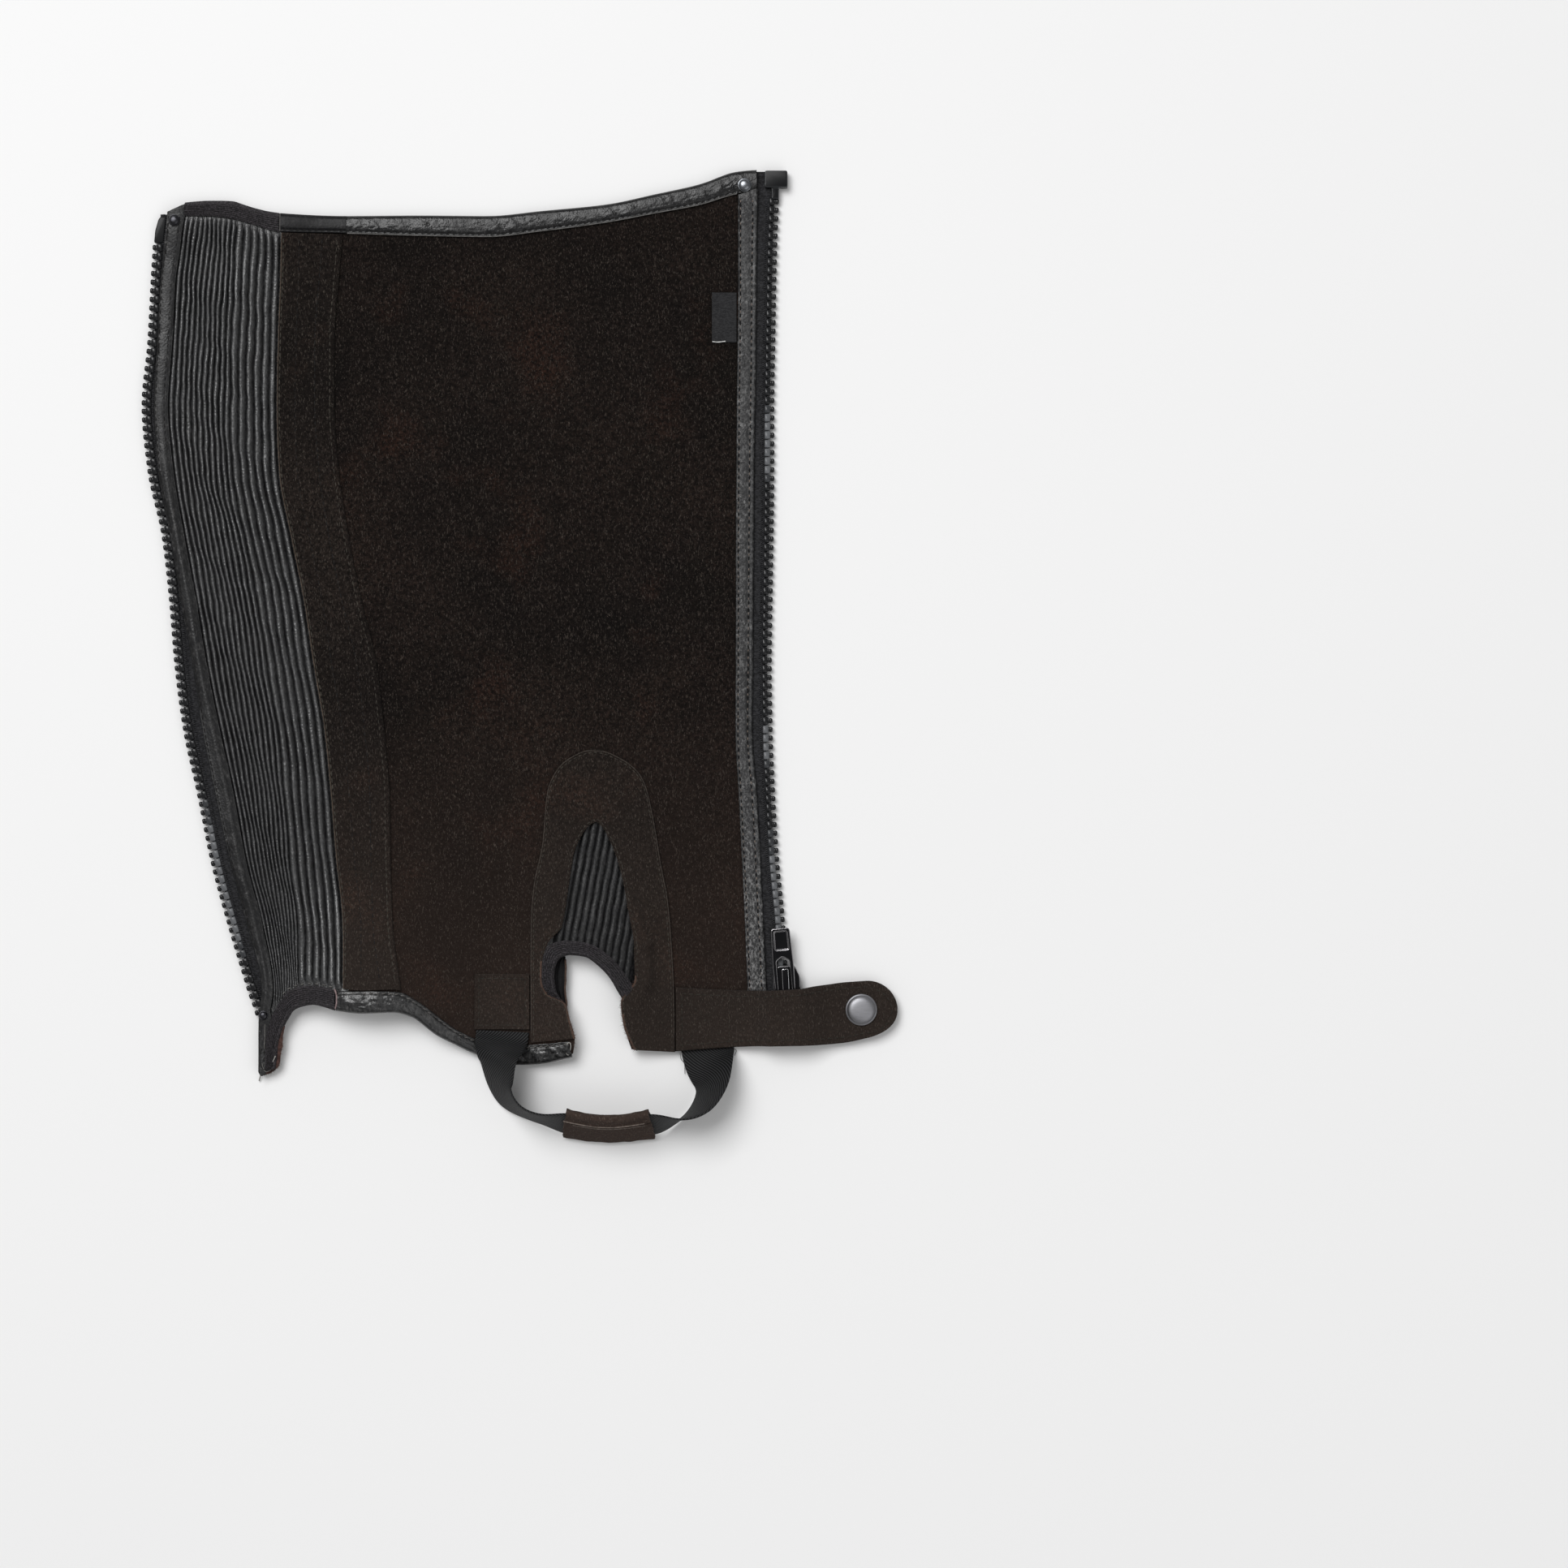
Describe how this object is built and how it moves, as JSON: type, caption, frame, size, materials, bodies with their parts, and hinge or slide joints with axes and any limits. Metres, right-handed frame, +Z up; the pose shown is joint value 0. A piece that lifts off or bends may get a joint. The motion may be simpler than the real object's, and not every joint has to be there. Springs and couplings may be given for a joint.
{
  "type": "half chap",
  "caption": "Suede riding half chap laid open and flat, with ribbed stretch panel, instep gusset, separating zip, snap strap and webbing stirrup.",
  "frame": {"origin": "centre of the laid-out half chap's bounding box, on the surface it lies on", "axes": "+Y from the hem to the top edge, +X from the back zip half to the slider half, +Z up, away from the surface"},
  "size_m": [0.3493, 0.4491, 0.0267],
  "materials": {
    "suede": "dark brown suede with a short nap",
    "suede_trim": "dark brown suede, slightly greyer",
    "leather": "black grained leather, soft sheen",
    "elastic": "black ribbed elastic tape",
    "webbing": "black woven webbing",
    "zip_tape": "black woven zip tape",
    "zip_plastic": "black moulded plastic",
    "black_metal": "glossy black enamel on metal",
    "snap_metal": "brushed dark steel",
    "label": "black woven tape, blank"
  },
  "bodies": {
    "garment": {"suede_panel": "suede", "ribbed_stretch_panel": "leather", "gusset_stretch": "leather", "gusset_binding": "elastic", "seam_band": "suede_trim", "front_arch_patch": "suede_trim", "zip_facing_back": "leather", "zip_facing_front": "leather", "top_binding_elastic": "elastic", "top_binding_leather": "leather", "hem_binding_elastic": "elastic", "hem_binding_leather": "leather", "zip_tape_back": "zip_tape", "zip_tape_front": "zip_tape", "zip_teeth_back": "zip_plastic", "zip_teeth_front": "zip_plastic", "zip_pin": "zip_plastic", "zip_box": "zip_plastic", "zip_slider": "black_metal", "ankle_strap": "suede_trim", "strap_snap_cap": "snap_metal", "strap_snap_socket": "snap_metal", "rivet_top_back": "black_metal", "rivet_top_front": "black_metal", "rivet_hem_back": "black_metal", "stirrup_tab": "suede_trim", "stirrup_webbing": "webbing", "stirrup_sleeve": "suede_trim", "label_tab": "label"},
    "pull_tab": {"zip_pull": "black_metal"}
  },
  "joints": [
    {"name": "pull_tab_hinge", "type": "hinge", "parent": "garment", "child": "pull_tab", "pos_m": [0.123, -0.1558, 0.0073], "axis": [0.9962, 0.0872, 0], "range_deg": [0, 40]}
  ]
}
